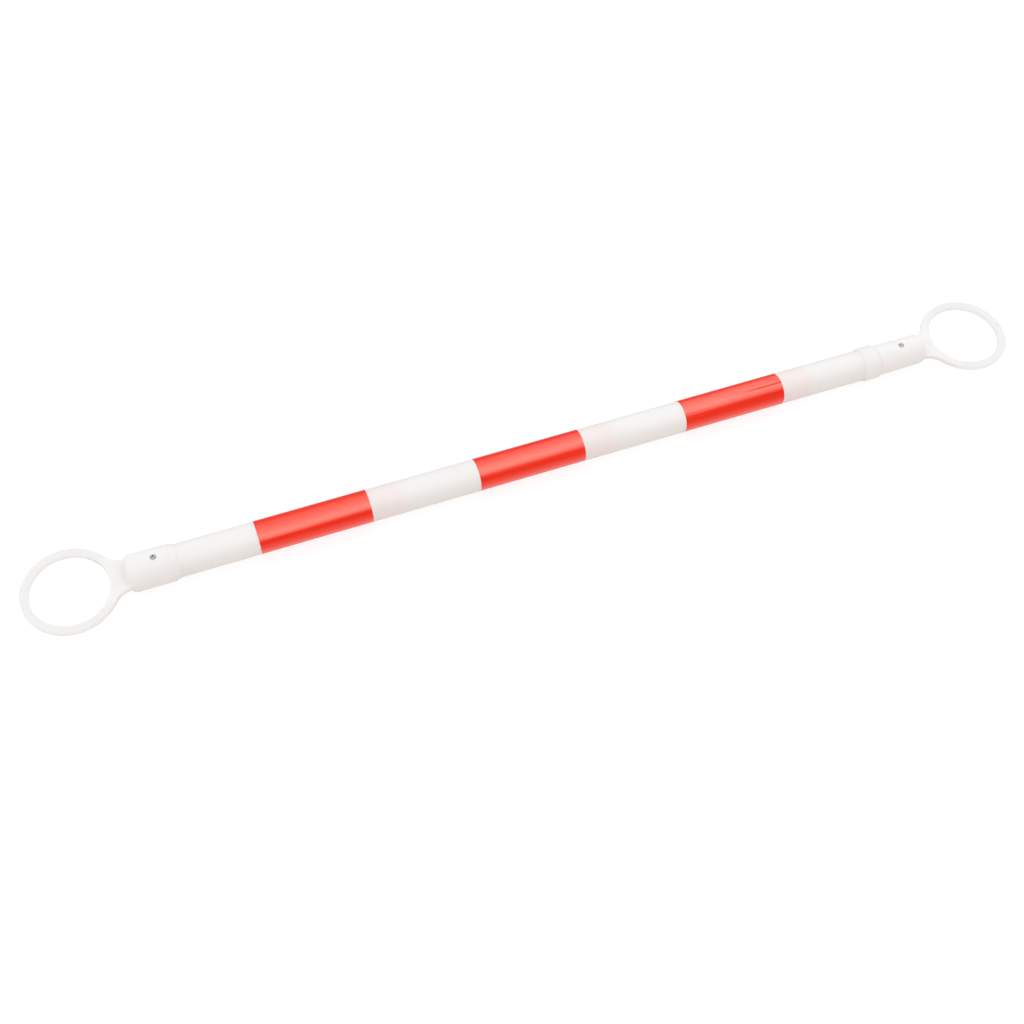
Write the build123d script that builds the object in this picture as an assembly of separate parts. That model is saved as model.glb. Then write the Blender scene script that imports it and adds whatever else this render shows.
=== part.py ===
import os
from math import sqrt

from build123d import *

# Extendable barrier pole, modelled pushed together. All sizes are millimetres.
# X runs from the fixed ring to the sliding ring, Z is the axis of the ring bores,
# and the origin is the centre of the fixed ring.

# Travel
stroke = 810.0  # how far the inner section pulls out
stop_gap = 0.3  # guide ring to collar lip at full reach
rest_gap = 0.3  # sliding socket to collar when pushed together

# Rings, the same at both ends
ring_bore = 82.0  # drops over the tip of a traffic cone
ring_rim = 9.5  # width of the rim, seen from above
ring_height = 6.5
rim_round = 2.2  # on the outer edges of ring and neck
bore_round = 1.6  # on the edges of the bore
round_limit = 0.45  # most that a rounding may take of the ring's height

# Necks, the flat plates that join rings to sockets
neck_length = 7.5  # rim to the closed end of the socket
neck_inset = 1.7  # edge of the neck inside the outline of the socket
neck_sweep = 25.0  # radius of the hollow curve from rim to neck
neck_overrun = 1.0  # how far the plate runs on inside the socket
crease_round = 2.5  # blend where the neck meets the socket

# Sockets that take the tubes
socket_floor = 5.0  # closed end
socket_dome = 8.0  # rounding of the closed end
socket_lead = 0.5  # chamfer at the mouth of the bore
socket_round = 1.3  # outer edge of the mouth
fixed_socket_length = 48.0
fixed_socket_wall = 2.15
fixed_socket_flare = 0.0  # growth of the radius from closed end to mouth
sliding_socket_length = 63.5
sliding_socket_wall = 1.95
sliding_socket_flare = 0.7

# Tubes
inner_tube_diameter = 30.0
inner_tube_wall = 1.5
outer_tube_wall = 1.5
telescope_gap = 1.5  # radial, inner tube to the bore of the outer tube
tube_fit = 0.05  # radial clearance of a tube in its socket, collar or plug
tube_chamfer = 0.4

# Red film bands
band_length = 122.7
band_space = 122.7  # bare white tube between two bands
band_lead = 91.0  # bare white tube between a socket and its first band
film_thickness = 0.15
film_bond = 0.02  # line of adhesive under the film

# Collar on the mouth of the outer tube
collar_length = 20.5
collar_wall = 1.65
collar_edge = 0.25  # wall left at the tapered end
collar_taper = 4.0  # length of the tapered end
collar_round = 1.4  # outer edge of the mouth
lip_thickness = 3.0
lip_clearance = 0.3  # radial, over the film on the inner tube

# Plug and guide ring at the hidden end of the inner tube
guide_length = 22.0
guide_clearance = 0.08  # radial, in the outer tube
guide_play = 0.1  # endways, at each end of the guide ring
guide_chamfer = 0.8
hub_clearance = 0.05  # radial, guide ring on the plug
plug_grip = 24.0  # length of the plug inside the inner tube
plug_wall = 3.0
plug_flange_length = 3.0
plug_flange_inset = 1.3  # radial, flange inside the bore of the outer tube

# Rubber ring in the groove of the guide ring
friction_cord = 1.8  # diameter of its round section
friction_clearance = 0.05  # radial, in the outer tube
groove_room = 0.2  # groove wider than the cord, in all
groove_floor_gap = 0.03

# Screws, one through the top of each socket
screw_setback = 31.5  # closed end of the socket to the screw's axis
screw_shank = 2.9
screw_length = 6.5  # under the head
screw_point = 1.6  # length of the tapered end
screw_point_diameter = 0.8
screw_head = 5.6
screw_head_height = 1.9
screw_head_round = 1.3  # outer edge of the head
screw_clearance = 0.15  # radial, in the socket wall
screw_grip = 0.03  # radial, in the tube wall
seat_depth = 0.6  # flat for the head, below the top of the socket
seat_margin = 0.4  # radial, flat wider than the head
recess_span = 2.8  # cross recess, tip to tip
recess_width = 0.75
recess_depth = 1.0
tail_room = 9.3  # fixed screw's axis to the tail of the plug

# Worked-out sizes
nearly = 0.001  # for finding edges by where they lie
ring_radius = ring_bore / 2
rim_radius = ring_radius + ring_rim
socket_start = rim_radius + neck_length
tube_start = socket_start + socket_floor
screw_reach = socket_start + screw_setback
inner_radius = inner_tube_diameter / 2
inner_bore = inner_radius - inner_tube_wall
outer_bore = inner_radius + telescope_gap
outer_radius = outer_bore + outer_tube_wall
film_rise = film_bond + film_thickness
spigot_radius = inner_bore - tube_fit
cord_radius = friction_cord / 2
cord_centre = outer_bore - friction_clearance - cord_radius

# Stations along the pole
fixed_mouth = socket_start + fixed_socket_length
tail_start = screw_reach + tail_room
guide_start = tail_start + plug_flange_length + guide_play
guide_end = guide_start + guide_length
inner_tube_start = guide_end + guide_play
lip_face = guide_end + stroke + stop_gap
collar_mouth = lip_face + lip_thickness
collar_start = collar_mouth - collar_length
sliding_mouth = collar_mouth + rest_gap
sliding_ring_x = sliding_mouth + sliding_socket_length + socket_start
inner_tube_end = sliding_ring_x - tube_start
groove_x = (guide_start + guide_end) / 2


def nearest(shape, x, y):
    return shape.vertices().sort_by_distance((x, y, 0))[0]


def rod(radius, start, end):
    """A cylinder along X."""
    along_x = Pos((start + end) / 2, 0, 0) * Rot(0, 90, 0)
    return along_x * Cylinder(radius, end - start)


def pipe(outer, inner, start, end):
    return rod(outer, start, end) - rod(inner, start, end)


def upright(radius, x, low, high):
    """A cylinder along Z."""
    return Pos(x, 0, (low + high) / 2) * Cylinder(radius, high - low)


def turned(outline):
    """Turn an outline of (x, radius) about X."""
    return revolve(Plane.XZ * outline, Axis.X)


def ring_plate(half_width):
    """Flat ring with its neck, rounded on every outer edge."""
    curve_end = sqrt((rim_radius + neck_sweep) ** 2 - (half_width + neck_sweep) ** 2)
    reach = max(curve_end, socket_start + socket_dome / 2) + neck_overrun
    outline = Circle(rim_radius) + Pos(reach / 2, 0) * Rectangle(reach, 2 * half_width)
    meeting_x = sqrt(rim_radius**2 - half_width**2)
    corners = [nearest(outline, meeting_x, side * half_width) for side in (-1, 1)]
    outline = fillet(corners, neck_sweep)
    plate = Pos(0, 0, -ring_height / 2) * extrude(outline, ring_height)
    flats = plate.faces().filter_by(Axis.Z)
    outer_edges = [edge for flat in flats for edge in flat.edges()]
    plate = fillet(outer_edges, min(rim_round, round_limit * ring_height))
    plate -= upright(ring_radius, 0, -ring_height, ring_height)
    bore_edges = plate.edges().filter_by(
        lambda edge: edge.geom_type == GeomType.CIRCLE and abs(edge.radius - ring_radius) < nearly
    )
    return fillet(bore_edges, min(bore_round, round_limit * ring_height))


def socket_body(root_radius, mouth_radius, length):
    """Outside of a socket, still without its bore."""
    mouth = socket_start + length
    outline = make_face(
        Polyline(
            (socket_start, 0),
            (socket_start, root_radius),
            (mouth, mouth_radius),
            (mouth, 0),
            close=True,
        )
    )
    outline = fillet(nearest(outline, socket_start, root_radius), socket_dome)
    outline = fillet(nearest(outline, mouth, mouth_radius), socket_round)
    return turned(outline)


def on_crease(edge):
    """True for an edge where the neck runs into the closed end of a socket."""
    box = edge.bounding_box()
    in_height = max(-box.min.Z, box.max.Z) < ring_height / 2 + nearly
    on_dome = socket_start - nearly < box.min.X and box.max.X < socket_start + socket_dome
    return in_height and on_dome


def screw_seat(root_radius, flare, length):
    """Height of the flat that the screw head sits on."""
    top = root_radius + flare * (screw_reach - socket_start) / length
    return top - seat_depth


def ring_end(tube_radius, wall, flare, length):
    """Ring, neck and socket in one moulding, with its socket towards +X."""
    bore = tube_radius + tube_fit
    root_radius = bore + wall
    mouth = socket_start + length
    seat = screw_seat(root_radius, flare, length)
    body = ring_plate(root_radius - neck_inset) + socket_body(root_radius, root_radius + flare, length)
    body = fillet(body.edges().filter_by(on_crease), crease_round)
    body -= rod(bore, tube_start, mouth)
    lead = Polyline(
        (mouth - socket_lead, 0),
        (mouth - socket_lead, bore),
        (mouth, bore + socket_lead),
        (mouth, 0),
        close=True,
    )
    body -= turned(make_face(lead))
    body -= upright(screw_head / 2 + seat_margin, screw_reach, seat, seat + screw_length)
    return body - upright(screw_shank / 2 + screw_clearance, screw_reach, 0, seat)


def ring_screw(seat):
    """Pan head tapping screw with a cross recess, pointing down from its seat."""
    head = screw_head / 2
    shank = screw_shank / 2
    top = seat + screw_head_height
    tip = seat - screw_length
    outline = make_face(
        Polyline(
            (0, tip),
            (screw_point_diameter / 2, tip),
            (shank, tip + screw_point),
            (shank, seat),
            (head, seat),
            (head, top),
            (0, top),
            close=True,
        )
    )
    outline = fillet(nearest(outline, head, top), screw_head_round)
    screw = revolve(Plane.XZ * outline, Axis.Z)
    blade = Pos(0, 0, top - recess_depth / 2) * Box(recess_span, recess_width, recess_depth)
    return Pos(screw_reach, 0, 0) * (screw - blade - Rot(0, 0, 90) * blade)


def tube(radius, wall, start, end, screw_x):
    """Tube with broken edges and a hole for the screw in its top."""
    body = pipe(radius, radius - wall, start, end)
    ends = body.edges().filter_by(GeomType.CIRCLE)
    body = chamfer(ends, tube_chamfer)
    return body - upright(screw_shank / 2 + screw_grip, screw_x, 0, radius + screw_length)


def band_starts(bare_length):
    """Distances from a socket to each band that fits on the bare tube."""
    pitch = band_length + band_space
    count = int((bare_length - band_lead + band_space) // pitch)
    return [band_lead + pitch * number for number in range(count)]


def film_band(tube_radius, start, end):
    return pipe(tube_radius + film_rise, tube_radius + film_bond, start, end)


def mouth_collar():
    """Cap on the mouth of the outer tube, with a lip that the guide ring stops at."""
    bore = outer_radius + tube_fit
    outside = bore + collar_wall
    lip = inner_radius + film_rise + lip_clearance
    outline = make_face(
        Polyline(
            (collar_start, 0),
            (collar_start, bore + collar_edge),
            (collar_start + collar_taper, outside),
            (collar_mouth, outside),
            (collar_mouth, 0),
            close=True,
        )
    )
    outline = fillet(nearest(outline, collar_mouth, outside), collar_round)
    body = turned(outline) - rod(bore, collar_start, lip_face)
    return body - rod(lip, lip_face, collar_mouth)


def slide_plug():
    """Hollow plug in the inner tube, with a hub and a flange for the guide ring."""
    spigot_end = inner_tube_start + plug_grip
    flange_end = tail_start + plug_flange_length
    body = rod(outer_bore - plug_flange_inset, tail_start, flange_end)
    body += rod(spigot_radius, flange_end, spigot_end)
    return body - rod(spigot_radius - plug_wall, flange_end, spigot_end)


def guide_ring():
    """Bush between the two sections, with a groove for the rubber ring."""
    outside = outer_bore - guide_clearance
    body = rod(outside, guide_start, guide_end)
    rims = body.edges().filter_by(GeomType.CIRCLE)
    body = chamfer(rims, guide_chamfer)
    body -= rod(spigot_radius + hub_clearance, guide_start, guide_end)
    groove_floor = cord_centre - cord_radius - groove_floor_gap
    half_groove = (friction_cord + groove_room) / 2
    return body - pipe(outer_bore, groove_floor, groove_x - half_groove, groove_x + half_groove)


def friction_ring():
    return Pos(groove_x, 0, 0) * Rot(0, 90, 0) * Torus(cord_centre, cord_radius)


fixed_size = (outer_radius, fixed_socket_wall, fixed_socket_flare, fixed_socket_length)
sliding_size = (inner_radius, sliding_socket_wall, sliding_socket_flare, sliding_socket_length)


def screw_for(size):
    tube_radius, wall, flare, length = size
    return ring_screw(screw_seat(tube_radius + tube_fit + wall, flare, length))


turned_round = Pos(sliding_ring_x, 0, 0) * Rot(0, 0, 180)
pieces = {
    "fixed_ring_end": ring_end(*fixed_size),
    "fixed_ring_screw": screw_for(fixed_size),
    "outer_tube": tube(outer_radius, outer_tube_wall, tube_start, lip_face, screw_reach),
    "mouth_collar": mouth_collar(),
    "guide_ring": guide_ring(),
    "friction_ring": friction_ring(),
    "slide_plug": slide_plug(),
    "inner_tube": tube(
        inner_radius, inner_tube_wall, inner_tube_start, inner_tube_end, sliding_ring_x - screw_reach
    ),
    "sliding_ring_end": turned_round * ring_end(*sliding_size),
    "sliding_ring_screw": turned_round * screw_for(sliding_size),
}

for number, offset in enumerate(band_starts(collar_start - fixed_mouth), start=1):
    start = fixed_mouth + offset
    pieces[f"red_band_{number}"] = film_band(outer_radius, start, start + band_length)

for number, offset in enumerate(band_starts(stroke), start=1):
    end = sliding_mouth - offset
    pieces[f"inner_red_band_{number}"] = film_band(inner_radius, end - band_length, end)

os.makedirs("parts", exist_ok=True)
for name, shape in pieces.items():
    export_step(shape, f"parts/{name}.step")

print("pushed together", round(sliding_ring_x + 2 * rim_radius, 3))
print("pulled out", round(sliding_ring_x + 2 * rim_radius + stroke, 3))
print("sliding ring at", round(sliding_ring_x, 3))
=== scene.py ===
import bmesh
import bpy
import math
from mathutils import Matrix, Vector


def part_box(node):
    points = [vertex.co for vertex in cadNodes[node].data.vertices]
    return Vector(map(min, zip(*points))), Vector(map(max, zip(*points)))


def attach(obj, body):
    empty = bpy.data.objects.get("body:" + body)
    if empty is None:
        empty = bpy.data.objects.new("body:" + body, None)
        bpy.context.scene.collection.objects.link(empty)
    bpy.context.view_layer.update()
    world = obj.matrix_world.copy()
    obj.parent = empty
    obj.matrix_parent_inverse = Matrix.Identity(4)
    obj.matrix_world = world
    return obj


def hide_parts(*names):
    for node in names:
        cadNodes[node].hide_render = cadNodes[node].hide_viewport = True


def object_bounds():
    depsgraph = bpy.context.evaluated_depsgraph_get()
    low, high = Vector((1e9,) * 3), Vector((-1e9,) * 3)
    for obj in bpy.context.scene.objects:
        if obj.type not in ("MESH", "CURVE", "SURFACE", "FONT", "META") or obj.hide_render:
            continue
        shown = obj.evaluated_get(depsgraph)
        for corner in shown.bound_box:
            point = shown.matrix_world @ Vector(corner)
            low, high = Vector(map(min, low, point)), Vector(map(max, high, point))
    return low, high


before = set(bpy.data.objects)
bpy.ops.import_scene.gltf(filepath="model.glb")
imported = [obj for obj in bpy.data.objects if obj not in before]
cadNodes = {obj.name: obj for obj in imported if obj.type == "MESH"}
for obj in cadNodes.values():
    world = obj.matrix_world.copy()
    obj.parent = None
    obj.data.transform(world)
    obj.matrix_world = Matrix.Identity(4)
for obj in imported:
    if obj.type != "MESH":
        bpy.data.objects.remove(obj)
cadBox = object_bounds()
mm = 0.001
poleAxis = (1, 0, 0)
axisPoint = (0, 0, 0)
white = (1, 1, 1, 1)
print("frame loaded with", len(cadNodes), "solids")


# Shader helpers

def newMaterial(name):
    made = bpy.data.materials.new(name)
    made.use_nodes = True
    made.node_tree.nodes.clear()
    return made


def addNode(made, kind, settings=None, inputs=None):
    node = made.node_tree.nodes.new(kind)
    for key, value in (settings or {}).items():
        setattr(node, key, value)
    for key, value in (inputs or {}).items():
        node.inputs[key].default_value = value
    return node


def join(made, fromSocket, toSocket):
    made.node_tree.links.new(fromSocket, toSocket)


def feed(made, value, toSocket):
    # value is a number or the socket that gives it
    if isinstance(value, (int, float)):
        toSocket.default_value = value
    else:
        join(made, value, toSocket)


def calculate(made, operation, *values):
    node = addNode(made, "ShaderNodeMath", {"operation": operation})
    for value, socket in zip(values, node.inputs):
        feed(made, value, socket)
    return node.outputs[0]


def mixShaders(made, share, first, second):
    # share is that of the second
    mix = addNode(made, "ShaderNodeMixShader")
    feed(made, share, mix.inputs[0])
    join(made, first, mix.inputs[1])
    join(made, second, mix.inputs[2])
    return mix.outputs[0]


def layColour(made, share, base, colour):
    # colour is laid over the base by its share
    mix = addNode(made, "ShaderNodeMix", {"data_type": "RGBA"}, {"B": (*colour, 1)})
    join(made, share, mix.inputs["Factor"])
    join(made, base, mix.inputs["A"])
    return mix.outputs["Result"]


def stretchedNoise(made, scale, detail, roughness=0.5):
    # noise in the piece's own coordinates, scaled per axis in cycles per metre
    coords = addNode(made, "ShaderNodeTexCoord")
    mapping = addNode(made, "ShaderNodeMapping", inputs={"Scale": scale})
    noise = addNode(made, "ShaderNodeTexNoise",
                    inputs={"Scale": 1.0, "Detail": detail, "Roughness": roughness})
    join(made, coords.outputs["Object"], mapping.inputs["Vector"])
    join(made, mapping.outputs["Vector"], noise.inputs["Vector"])
    return noise.outputs["Fac"]


def rampThrough(made, driver, stops):
    # a ramp through (place, colour) stops
    ramp = addNode(made, "ShaderNodeValToRGB")
    elements = ramp.color_ramp.elements
    while len(elements) < len(stops):
        elements.new(1.0)
    for element, (place, colour) in zip(elements, stops):
        element.position = place
        element.color = (*colour, 1)
    join(made, driver, ramp.inputs["Fac"])
    return ramp.outputs["Color"]


def colourRange(made, driver, low, high, fromLow=0.3, fromHigh=0.7):
    return rampThrough(made, driver, [(fromLow, low), (fromHigh, high)])


def toneRange(made, driver, finish, shade=1.0):
    # from the deep to the pale tone of a finish, both darkened by shade
    deep = [tone * shade for tone in finish["deep"]]
    pale = [tone * shade for tone in finish["pale"]]
    return colourRange(made, driver, deep, pale)


def valueRange(made, driver, low, high, fromLow=0.3, fromHigh=0.7):
    span = addNode(made, "ShaderNodeMapRange", inputs={"From Min": fromLow, "From Max": fromHigh,
                                                      "To Min": low, "To Max": high})
    join(made, driver, span.inputs["Value"])
    return span.outputs["Result"]


def bumpFrom(made, height, strength, distance, under=None):
    bump = addNode(made, "ShaderNodeBump", inputs={"Strength": strength, "Distance": distance})
    join(made, height, bump.inputs["Height"])
    if under is not None:
        join(made, under, bump.inputs["Normal"])
    return bump.outputs["Normal"]


def ownPlace(made):
    # the piece's own X, Y and Z, in metres
    coords = addNode(made, "ShaderNodeTexCoord")
    parts = addNode(made, "ShaderNodeSeparateXYZ")
    join(made, coords.outputs["Object"], parts.inputs["Vector"])
    return parts.outputs


def fromUpright(made, station, side, operation):
    # the level vector from the upright line through a station on the pole's axis
    coords = addNode(made, "ShaderNodeTexCoord")
    centred = addNode(made, "ShaderNodeMapping", inputs={"Location": (-side * station, 0, 0),
                                                         "Scale": (side, 1, 0)})
    join(made, coords.outputs["Object"], centred.inputs["Vector"])
    vector = addNode(made, "ShaderNodeVectorMath", {"operation": operation})
    join(made, centred.outputs["Vector"], vector.inputs[0])
    return vector.outputs


def neckCosine(made, station, side):
    # cosine of the turn round a ring's centre, counted from its neck
    parts = addNode(made, "ShaderNodeSeparateXYZ")
    join(made, fromUpright(made, station, side, "NORMALIZE")["Vector"], parts.inputs["Vector"])
    return parts.outputs["X"]


def surface(made, inputs, through=0.0, tint=None):
    # through is the share of light that a wall passes on to what lies behind it; a solid gives the socket
    # of that share and the socket of its tint
    shader = addNode(made, "ShaderNodeBsdfPrincipled", inputs=inputs)
    wall = shader.outputs["BSDF"]
    if through:
        passing = addNode(made, "ShaderNodeBsdfTranslucent", inputs={"Color": white})
        if tint:  # light that is inside a solid is thrown on without loss
            side = addNode(made, "ShaderNodeNewGeometry")
            inside = addNode(made, "ShaderNodeBsdfDiffuse", inputs={"Color": white})
            wall = mixShaders(made, side.outputs["Backfacing"], wall, inside.outputs["BSDF"])
            join(made, tint, passing.inputs["Color"])
        wall = mixShaders(made, through, wall, passing.outputs["BSDF"])
    out = addNode(made, "ShaderNodeOutputMaterial")
    join(made, wall, out.inputs["Surface"])
    return shader


# In the finishes a noise is its scale, its detail and, where it isn't 0.5, its roughness, and a bump is
# its strength and its height in metres

# White extruded tube: the thin wall lets a little light through, so the red inner bands show as a pink tint
tubeFinish = {"pale": (0.975, 0.967, 0.963), "deep": (0.955, 0.947, 0.942), "rough": (0.40, 0.50),
              "dieLines": ((1.5, 700, 700), 3), "lineBump": (0.15, 0.0002), "cloud": ((18, 40, 40), 2),
              "through": 0.21, "boreThrough": 1.0, "innerShade": 0.89}


def whiteTubePlastic(name, through, shade=1.0):
    made = newMaterial(name)
    lines = stretchedNoise(made, *tubeFinish["dieLines"])
    cloud = stretchedNoise(made, *tubeFinish["cloud"])
    shader = surface(made, {}, through)
    join(made, toneRange(made, cloud, tubeFinish, shade), shader.inputs["Base Color"])
    join(made, valueRange(made, lines, *tubeFinish["rough"]), shader.inputs["Roughness"])
    join(made, bumpFrom(made, lines, *tubeFinish["lineBump"]), shader.inputs["Normal"])
    return made


# White moulding: the ring ends are milky enough to soften their edges, and the collar and the socket lip
# are too thin for that. The open rings let light through, the necks don't, and painted light lifts the
# colour where one passes into the other, brightening the darker band there. Fades go by the cosine of the
# turn from the neck. Each ring has the station of its centre in metres and the side of its neck.
mouldFinish = {"pale": (0.848, 0.842, 0.840), "deep": (0.828, 0.822, 0.818), "rough": (0.38, 0.5),
               "milky": 0.6, "milkyReach": 0.0012, "milkyTint": (1, 0.9, 0.85), "gloss": 0.2,
               "fixedRing": (0.0, 1), "slidingRing": (1.059, -1),
               "ringThrough": 0.6, "ringFade": (0.50, 0.86),
               "ringTint": (0.947, 0.944, 0.942), "neckTint": (1, 1, 1), "tintFade": (0.3, 0.84),
               # lifted and lift: painted light, a brighter colour where the ring passes into the neck
               "lifted": (0.91, 0.904, 0.90), "lift": [(0.45, 0), (0.60, 0.8), (0.74, 0.8), (0.87, 0)],
               "grain": ((2200, 2200, 2200), 2), "grainBump": (0.12, 0.0002), "cloud": ((45, 45, 45), 3),
               "thinShade": 0.985}


def whiteMouldedPlastic(name, milky, shade=1.0, ring=None):
    made = newMaterial(name)
    grain = stretchedNoise(made, *mouldFinish["grain"])
    cloud = stretchedNoise(made, *mouldFinish["cloud"])
    base = toneRange(made, cloud, mouldFinish, shade)
    through = 0.0
    tint = None
    if ring:
        turn = neckCosine(made, *ring)
        through = valueRange(made, turn, mouldFinish["ringThrough"], 0.0, *mouldFinish["ringFade"])
        tint = colourRange(made, turn, mouldFinish["ringTint"], mouldFinish["neckTint"],
                           *mouldFinish["tintFade"])
        # painted light: the base colour is lifted where the ring passes into the neck
        lift = rampThrough(made, turn, [(place, [level] * 3) for place, level in mouldFinish["lift"]])
        base = layColour(made, lift, base, mouldFinish["lifted"])
    shader = surface(made, {"Subsurface Weight": milky, "Subsurface Radius": mouldFinish["milkyTint"],
                            "Subsurface Scale": mouldFinish["milkyReach"],
                            "Specular IOR Level": mouldFinish["gloss"]}, through, tint)
    join(made, base, shader.inputs["Base Color"])
    join(made, valueRange(made, cloud, *mouldFinish["rough"]), shader.inputs["Roughness"])
    join(made, bumpFrom(made, grain, *mouldFinish["grainBump"]), shader.inputs["Normal"])
    return made


# Glossy red film with shallow wrinkles and fine streaks along the pole
filmFinish = {"pale": (0.99, 0.026, 0.006), "deep": (0.94, 0.018, 0.004), "rough": (0.10, 0.20),
              "index": 2.1, "tint": (1, 0.95, 0.80, 1),
              "streaks": ((3, 420, 420), 4, 0.6), "streakBump": (0.1, 0.0002),
              "wrinkles": ((9, 330, 330), 2, 0.4), "wrinkleBump": (0.12, 0.0004)}


def redFilm():
    made = newMaterial("redFilm")
    streaks = stretchedNoise(made, *filmFinish["streaks"])
    wrinkles = stretchedNoise(made, *filmFinish["wrinkles"])
    shader = surface(made, {"IOR": filmFinish["index"], "Specular Tint": filmFinish["tint"]})
    join(made, toneRange(made, streaks, filmFinish), shader.inputs["Base Color"])
    join(made, valueRange(made, streaks, *filmFinish["rough"]), shader.inputs["Roughness"])
    fine = bumpFrom(made, streaks, *filmFinish["streakBump"])
    both = bumpFrom(made, wrinkles, *filmFinish["wrinkleBump"], fine)
    join(made, both, shader.inputs["Normal"])
    return made


# Plated steel of the screws, with painted shade darkening the cross recess; recess is its radius and
# the depths of the painted shade are where it starts and is full, in millimetres
steelFinish = {"pale": (0.66, 0.66, 0.67), "deep": (0.48, 0.48, 0.49), "recessShade": (0.08, 0.08, 0.08),
               "rough": (0.25, 0.45), "grain": ((1800, 1800, 1800), 3), "metal": 0.7,
               "recess": 1.5, "recessShadeDepth": (0.1, 0.5)}


def screwSteel(node):
    made = newMaterial(node + "Steel")
    low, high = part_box(node)
    grain = stretchedNoise(made, *steelFinish["grain"])
    # share of painted shade: inside the recess, growing with the depth below the top of the head
    fromAxis = fromUpright(made, (low.x + high.x) / 2, 1, "LENGTH")["Value"]
    within = calculate(made, "LESS_THAN", fromAxis, steelFinish["recess"] * mm)
    levels = [high.z - depth * mm for depth in steelFinish["recessShadeDepth"]]
    share = calculate(made, "MULTIPLY", within, valueRange(made, ownPlace(made)["Z"], 0.0, 1.0, *levels))
    steel = toneRange(made, grain, steelFinish)
    shader = surface(made, {"Metallic": steelFinish["metal"]})
    # painted shade laid over the steel inside the recess
    join(made, layColour(made, share, steel, steelFinish["recessShade"]), shader.inputs["Base Color"])
    join(made, valueRange(made, grain, *steelFinish["rough"]), shader.inputs["Roughness"])
    return made


# Hidden slide parts
slideFinish = {"grain": ((900, 900, 900), 3), "grainBump": (0.1, 0.0002)}
bearingTones = {"deep": (0.85, 0.84, 0.80), "pale": (0.90, 0.89, 0.85), "rough": (0.35, 0.5)}
plugTones = {"deep": (0.87, 0.87, 0.86), "pale": (0.91, 0.91, 0.90), "rough": (0.4, 0.55)}
rubberTones = {"deep": (0.78, 0.78, 0.76), "pale": (0.82, 0.82, 0.80), "rough": (0.6, 0.8)}


def slidePart(name, tones):
    made = newMaterial(name)
    grain = stretchedNoise(made, *slideFinish["grain"])
    shader = surface(made, {})
    join(made, toneRange(made, grain, tones), shader.inputs["Base Color"])
    join(made, valueRange(made, grain, *tones["rough"]), shader.inputs["Roughness"])
    join(made, bumpFrom(made, grain, *slideFinish["grainBump"]), shader.inputs["Normal"])
    return made


milky = mouldFinish["milky"]
fixedMoulding = whiteMouldedPlastic("fixedRingMoulding", milky, ring=mouldFinish["fixedRing"])
slidingMoulding = whiteMouldedPlastic("slidingRingMoulding", milky, ring=mouldFinish["slidingRing"])
thinMoulding = whiteMouldedPlastic("whiteMouldedRim", 0.0, mouldFinish["thinShade"])
outerWall = whiteTubePlastic("outerTubeWall", tubeFinish["through"])
outerBore = whiteTubePlastic("outerTubeBore", tubeFinish["boreThrough"])
innerWall = whiteTubePlastic("innerTubeWall", 0.0, tubeFinish["innerShade"])
film = redFilm()

# Solids that stay as they are and only take a finish
keptSolids = {"fixed_ring_end": fixedMoulding, "sliding_ring_end": slidingMoulding,
              "fixed_ring_screw": screwSteel("fixed_ring_screw"),
              "sliding_ring_screw": screwSteel("sliding_ring_screw"),
              "guide_ring": slidePart("bearingPlastic", bearingTones),
              "slide_plug": slidePart("plugPlastic", plugTones),
              "friction_ring": slidePart("frictionRubber", rubberTones)}
for name, finish in keptSolids.items():
    solid = cadNodes[name].data
    solid.materials.clear()
    solid.materials.append(finish)
print("finishes set")


# Mesh helpers; weld is in millimetres, sharp in degrees
meshing = {"sharp": 40, "roundSteps": 4, "weld": 0.0001}


def finishPiece(name, bm, finishes, body, node):
    mesh = bpy.data.meshes.new(name)
    bm.to_mesh(mesh)
    bm.free()
    mesh.shade_smooth()
    mesh.set_sharp_from_angle(angle=math.radians(meshing["sharp"]))
    for finish in finishes:
        mesh.materials.append(finish)
    piece = bpy.data.objects.new(name, mesh)
    bpy.context.scene.collection.objects.link(piece)
    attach(piece, body)
    if node:
        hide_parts(node)


def spunOutline(corners, rounds, turns, longest):
    # a closed outline of (station, radius) corners in millimetres, rounded, cut up lengthwise and spun
    bm = bmesh.new()
    points = [bm.verts.new((x * mm, 0, r * mm)) for x, r in corners]
    bm.faces.new(points)
    for point, size in zip(points, rounds):
        if size:
            bmesh.ops.bevel(bm, geom=[point], offset=size * mm, affect="VERTICES",
                            segments=meshing["roundSteps"], profile=0.5, material=-1)
    bmesh.ops.delete(bm, geom=bm.faces[:], context="FACES_ONLY")
    for edge in [edge for edge in bm.edges if edge.calc_length() > longest * mm]:
        cuts = int(edge.calc_length() / (longest * mm))
        bmesh.ops.subdivide_edges(bm, edges=[edge], cuts=cuts)
    bmesh.ops.spin(bm, geom=bm.edges[:], cent=axisPoint, axis=poleAxis, angle=2 * math.pi,
                   steps=turns, use_merge=True)
    bmesh.ops.remove_doubles(bm, verts=bm.verts[:], dist=meshing["weld"] * mm)
    bmesh.ops.recalc_face_normals(bm, faces=bm.faces[:])
    return bm


def radiusOf(point):
    return math.hypot(point.y, point.z)


# The two tubes; boreSkin is how far from the bore a face still counts as part of it
tubeShape = {"outerBore": 16.5, "innerBore": 13.5, "boreSkin": 0.3, "endRound": 0.4,
             "turns": 128, "longest": 40}


def makeTube(name, node, bore, finishes, body):
    # the last finish is for the bore
    low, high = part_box(node)
    start, end, outside = low.x / mm, high.x / mm, high.y / mm
    corners = [(start, bore), (end, bore), (end, outside), (start, outside)]
    bm = spunOutline(corners, [tubeShape["endRound"]] * 4, tubeShape["turns"], tubeShape["longest"])
    for face in bm.faces:
        inside = radiusOf(face.calc_center_median()) < (bore + tubeShape["boreSkin"]) * mm
        face.material_index = len(finishes) - 1 if inside else 0
    finishPiece(name, bm, finishes, body, node)


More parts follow.
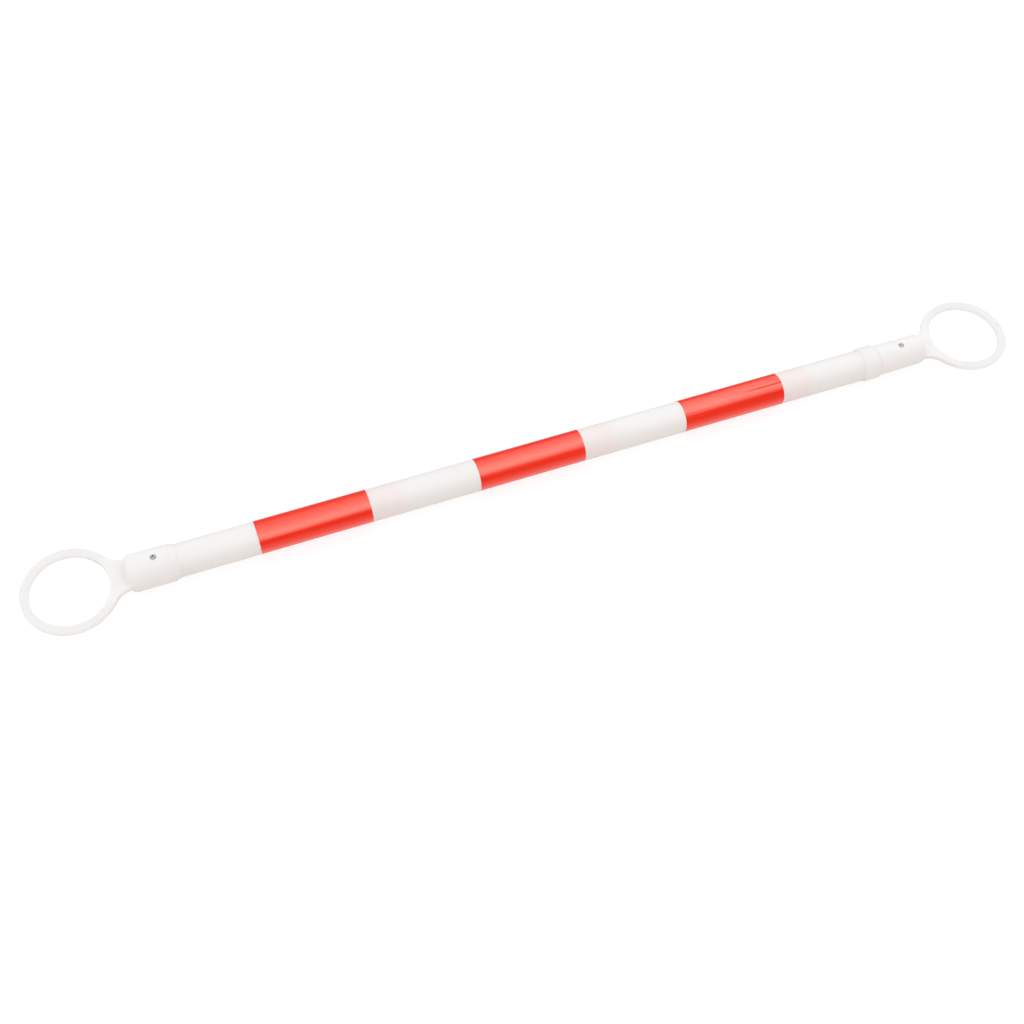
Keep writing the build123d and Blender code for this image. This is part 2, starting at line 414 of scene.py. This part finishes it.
makeTube("outerTube", "outer_tube", tubeShape["outerBore"], [outerWall, outerBore], "outer_section")
makeTube("innerTube", "inner_tube", tubeShape["innerBore"], [innerWall], "inner_section")
print("tubes made")


# Collar on the tube's mouth: its tapered end runs out to nothing on the tube
collarShape = {"taper": 4.0, "bore": 18.03, "lipBore": 15.47, "lipLength": 3.0,
               "shoulder": 1.0, "mouthRound": 1.4, "edge": 0.2, "turns": 128, "longest": 4}


def makeCollar():
    low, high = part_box("mouth_collar")
    start, end, outside = low.x / mm, high.x / mm, high.y / mm
    bore, lipBore = collarShape["bore"], collarShape["lipBore"]
    face = end - collarShape["lipLength"]
    corners = [(start, bore), (start + collarShape["taper"], outside), (end, outside), (end, lipBore),
               (face, lipBore), (face, bore)]
    edge = collarShape["edge"]
    rounds = [0, collarShape["shoulder"], collarShape["mouthRound"], edge, edge, 0]
    bm = spunOutline(corners, rounds, collarShape["turns"], collarShape["longest"])
    finishPiece("mouthCollar", bm, [thinMoulding], "outer_section", "mouth_collar")


# Soft lip of the fixed socket: a slope from the rounded edge of its mouth down to the tube. Its foot
# follows that edge, by the turn in degrees and the gap in millimetres.
lipShape = {"socket": 20.2, "round": 1.3, "bore": 18.02, "slope": 18.6, "topGap": 0.01, "mouthGap": 0.02,
            "foot": [(90, 0.02), (67, 0.04), (43, 0.04)], "turns": 128, "longest": 4}


def onMouthRound(mouth, degrees, gap):
    turn = math.radians(degrees)
    reach = lipShape["round"] + gap
    return (mouth - lipShape["round"] + reach * math.sin(turn),
            lipShape["socket"] - lipShape["round"] + reach * math.cos(turn))


def makeSocketLip():
    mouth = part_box("fixed_ring_end")[1].x / mm
    bore = lipShape["bore"]
    top = onMouthRound(mouth, lipShape["slope"], lipShape["topGap"])
    run = (top[1] - bore) / math.tan(math.radians(lipShape["slope"]))
    foot = [onMouthRound(mouth, degrees, gap) for degrees, gap in lipShape["foot"]]
    corners = [top, (top[0] + run, bore), (mouth + lipShape["mouthGap"], bore), *foot]
    bm = spunOutline(corners, [0] * len(corners), lipShape["turns"], lipShape["longest"])
    finishPiece("fixedSocketLip", bm, [thinMoulding], "outer_section", None)


makeCollar()
makeSocketLip()
print("collar and socket lip made")


# Red films, each wrapped round once with a lengthwise overlap at the back. Step, ramp, overlap, ridge and
# seams are in degrees, the rest in millimetres; skin is how far below the outside a ridge still lifts.
filmShape = {"thickness": 0.15, "lift": 0.16, "step": 2, "ramp": 12, "overlap": 24, "longest": 6,
             "ridge": 4, "skin": 0.05}
seams = {"red_band_1": 115, "red_band_2": 121, "red_band_3": 111,
         "inner_red_band_1": 118, "inner_red_band_2": 112, "inner_red_band_3": 122}

# Ridges where a film has lifted: angle from the front over the top, first and last station (past the
# film where the ridge runs off its end), height in millimetres
ridges = {"red_band_1": [(66, 146, 248, 0.14), (92, 272, 368, 0.12), (-40, 226, 292, 0.2)],
          "red_band_2": [(64, 520, 610, 0.16), (84, 396, 488, 0.12), (-70, 468, 542, 0.2)],
          "red_band_3": [(79, 728, 880, 0.7), (89, 764, 850, 0.5), (62, 650, 726, 0.12),
                         (-55, 640, 736, 0.2)],
          "inner_red_band_1": [(72, 790, 900, 0.08)],
          "inner_red_band_2": [(95, 430, 530, 0.08)],
          "inner_red_band_3": [(60, 290, 420, 0.08)]}


def onlyFaces(items):
    return [item for item in items if isinstance(item, bmesh.types.BMFace)]


def faceParts(faces):
    edges = {edge for face in faces for edge in face.edges}
    verts = {vert for face in faces for vert in face.verts}
    return list(faces) + list(edges) + list(verts)


def raiseRidges(bm, node, outside):
    lowest = outside - filmShape["skin"] * mm
    for angle, start, end, rise in ridges[node]:
        for vert in bm.verts:
            along = (vert.co.x / mm - start) / (end - start)
            turn = math.degrees(math.atan2(vert.co.z, -vert.co.y))
            across = abs(turn - angle) / filmShape["ridge"]
            if across < 1 and 0 < along < 1 and radiusOf(vert.co) > lowest:
                height = rise * mm * math.sin(math.pi * along) * (1 + math.cos(math.pi * across)) / 2
                swell = 1 + height / outside
                bmesh.ops.scale(bm, vec=(1, swell, swell), verts=[vert])


def wrapFilm(name, node, body):
    low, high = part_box(node)
    outside = high.y
    inside = outside - filmShape["thickness"] * mm
    longest = filmShape["longest"] * mm
    step, overlap = filmShape["step"], filmShape["overlap"]
    bm = bmesh.new()
    corners = [(low.x, inside), (high.x, inside), (high.x, outside), (low.x, outside)]
    bm.faces.new([bm.verts.new((x, 0, r)) for x, r in corners])
    long = [edge for edge in bm.edges if edge.calc_length() > longest]
    bmesh.ops.subdivide_edges(bm, edges=long, cuts=int((high.x - low.x) / longest), use_grid_fill=True)
    seam = Matrix.Rotation(-math.radians(seams[node]), 3, "X")
    bmesh.ops.rotate(bm, verts=bm.verts[:], cent=axisPoint, matrix=seam)
    wrapped = 360 - filmShape["ramp"]
    turned = bmesh.ops.spin(bm, geom=bm.verts[:] + bm.edges[:] + bm.faces[:], cent=axisPoint,
                            axis=poleAxis, angle=-math.radians(wrapped), steps=wrapped // step)
    end = onlyFaces(turned["geom_last"])
    # the ramp that lifts the end over the start
    rises = filmShape["ramp"] // step
    stepTurn = Matrix.Rotation(-math.radians(step), 3, "X")
    swell = 1 + filmShape["lift"] * mm / rises / outside
    for rise in range(rises):
        grown = bmesh.ops.extrude_face_region(bm, geom=faceParts(end))["geom"]
        end = onlyFaces(grown)
        moved = [item for item in grown if isinstance(item, bmesh.types.BMVert)]
        bmesh.ops.rotate(bm, verts=moved, cent=axisPoint, matrix=stepTurn)
        bmesh.ops.scale(bm, vec=(1, swell, swell), verts=moved)
    buried = [face for face in bm.faces if all(len(edge.link_faces) > 2 for edge in face.edges)]
    bmesh.ops.delete(bm, geom=buried, context="FACES_ONLY")
    bmesh.ops.spin(bm, geom=faceParts(end), cent=axisPoint, axis=poleAxis,
                   angle=-math.radians(overlap), steps=overlap // step)
    raiseRidges(bm, node, outside)
    bmesh.ops.recalc_face_normals(bm, faces=bm.faces[:])
    openEdges = sum(1 for edge in bm.edges if len(edge.link_faces) != 2)
    print(name, len(bm.faces), "faces,", openEdges, "edges not closed")
    finishPiece(name, bm, [film], body, node)


for number in (1, 2, 3):
    wrapFilm(f"redBand{number}", f"red_band_{number}", "outer_section")
    wrapFilm(f"innerRedBand{number}", f"inner_red_band_{number}", "inner_section")
print("films wrapped")


# Floor, light and camera; lengths of the floor are in metres
stage = {"floorGap": 0.00002, "floorSize": 60.0, "floorCentre": 0.5, "bounce": (0.90, 0.80, 0.755),
         "seenDiffuse": (0.22, 0.22, 0.22), "seenGlow": 0.84,
         "mirrorFar": 0.1, "mirrorFade": 0.022, "mirrorMost": 0.84}


def mirroredFloor(made):
    # what the film mirrors: bright close to the pole, dim further off
    away = calculate(made, "ABSOLUTE", ownPlace(made)["Y"])
    fade = calculate(made, "DIVIDE", stage["mirrorFade"], away)
    lifted = calculate(made, "ADD", fade, stage["mirrorFar"])
    level = calculate(made, "MINIMUM", lifted, stage["mirrorMost"])
    glow = addNode(made, "ShaderNodeEmission", inputs={"Color": white})
    join(made, level, glow.inputs["Strength"])
    return glow.outputs[0]


def floorFinish():
    made = newMaterial("paleFloor")
    path = addNode(made, "ShaderNodeLightPath").outputs
    seen = calculate(made, "MAXIMUM", path["Is Camera Ray"], path["Is Transmission Ray"])
    bounce = addNode(made, "ShaderNodeBsdfDiffuse", inputs={"Color": (*stage["bounce"], 1)})
    shade = addNode(made, "ShaderNodeBsdfDiffuse", inputs={"Color": (*stage["seenDiffuse"], 1)})
    glow = addNode(made, "ShaderNodeEmission", inputs={"Color": white, "Strength": stage["seenGlow"]})
    both = addNode(made, "ShaderNodeAddShader")
    join(made, shade.outputs[0], both.inputs[0])
    join(made, glow.outputs[0], both.inputs[1])
    mix = mixShaders(made, seen, bounce.outputs[0], both.outputs[0])
    inGloss = mixShaders(made, path["Is Glossy Ray"], mix, mirroredFloor(made))
    out = addNode(made, "ShaderNodeOutputMaterial")
    join(made, inGloss, out.inputs["Surface"])
    return made


def layFloor():
    bm = bmesh.new()
    bmesh.ops.create_grid(bm, x_segments=1, y_segments=1, size=stage["floorSize"] / 2)
    middle = (stage["floorCentre"], 0, cadBox[0].z - stage["floorGap"])
    bmesh.ops.translate(bm, vec=middle, verts=bm.verts)
    mesh = bpy.data.meshes.new("paleFloor")
    bm.to_mesh(mesh)
    bm.free()
    floor = bpy.data.objects.new("paleFloor", mesh)
    bpy.context.scene.collection.objects.link(floor)
    floor.data.materials.append(floorFinish())


layFloor()

# Sky of the studio, as angles from the front horizon over the top to the back: light falls mostly from
# above and behind, and glossy rays find a narrower strip, so that the film shows one broad highlight
sky = {"lightTurn": 90.0, "lightPeak": 1.49, "frontTint": (1, 0.94, 0.89), "tintEnd": 75,
       "mirrorTurn": 30.0, "mirrorPeak": 2.1,
       "light": [(0, 0.75), (20, 0.68), (40, 0.61), (55, 0.58), (70, 0.62), (85, 0.74), (100, 0.90),
                 (115, 1.0), (130, 0.93), (150, 0.68), (180, 0.37)],
       "mirror": [(0, 0.02), (35, 0.03), (45, 0.15), (52, 0.46), (60, 0.82), (68, 1.0), (76, 0.90),
                  (84, 0.72), (92, 0.56), (102, 0.42), (115, 0.34), (135, 0.18), (160, 0.10), (180, 0.08)]}


def skyLevel(world, coords, turn, levels, peak):
    turned = addNode(world, "ShaderNodeMapping", inputs={"Rotation": (0, 0, math.radians(turn))})
    parts = addNode(world, "ShaderNodeSeparateXYZ")
    join(world, coords.outputs["Generated"], turned.inputs["Vector"])
    join(world, turned.outputs["Vector"], parts.inputs["Vector"])
    height = calculate(world, "ARCTAN2", parts.outputs["Z"], parts.outputs["X"])
    share = calculate(world, "DIVIDE", height, math.pi)
    stops = []
    for angle, level in levels:
        front = max(0, 1 - angle / sky["tintEnd"])
        stops.append((angle / 180, [level * (1 - front * (1 - tone)) for tone in sky["frontTint"]]))
    glow = addNode(world, "ShaderNodeBackground", inputs={"Strength": peak})
    join(world, rampThrough(world, share, stops), glow.inputs["Color"])
    return glow.outputs[0]


def setSky():
    world = bpy.data.worlds.new("studioSky")
    bpy.context.scene.world = world
    world.use_nodes = True
    world.node_tree.nodes.clear()
    coords = addNode(world, "ShaderNodeTexCoord")
    light = skyLevel(world, coords, sky["lightTurn"], sky["light"], sky["lightPeak"])
    mirror = skyLevel(world, coords, sky["mirrorTurn"], sky["mirror"], sky["mirrorPeak"])
    backdrop = addNode(world, "ShaderNodeBackground", inputs={"Color": white, "Strength": 1.0})
    path = addNode(world, "ShaderNodeLightPath").outputs
    inGloss = mixShaders(world, path["Is Glossy Ray"], light, mirror)
    mix = mixShaders(world, path["Is Camera Ray"], inGloss, backdrop.outputs[0])
    out = addNode(world, "ShaderNodeOutputWorld")
    join(world, mix, out.inputs["Surface"])


setSky()

# Camera fitted to the photograph: places and sensor in millimetres, roll in radians, clip in metres
shot = {"stand": (135.1, -785.5, 1265.4), "aim": (462.9, -57.6, 0), "roll": -0.0774,
        "focalPixels": 1387.4, "widthPixels": 1024, "sensor": 36, "clip": (0.01, 200)}


def placeCamera():
    camera = bpy.data.cameras.new("photoCamera")
    camera.sensor_width = shot["sensor"]
    camera.lens = shot["focalPixels"] / shot["widthPixels"] * shot["sensor"]
    camera.clip_start, camera.clip_end = shot["clip"]
    stand = Vector(shot["stand"]) * mm
    forward = (Vector(shot["aim"]) * mm - stand).normalized()
    right = forward.cross(Vector((0, 0, 1))).normalized()
    down = forward.cross(right)
    turn = shot["roll"]
    right, down = (right * math.cos(turn) + down * math.sin(turn),
                   down * math.cos(turn) - right * math.sin(turn))
    axes = Matrix((right, -down, -forward)).transposed().to_4x4()
    holder = bpy.data.objects.new("photoCamera", camera)
    holder.matrix_world = Matrix.Translation(stand) @ axes
    bpy.context.scene.collection.objects.link(holder)
    bpy.context.scene.camera = holder


placeCamera()
bpy.context.scene.view_settings.view_transform = "Standard"
print("stage and camera set")

bpy.context.view_layer.update()
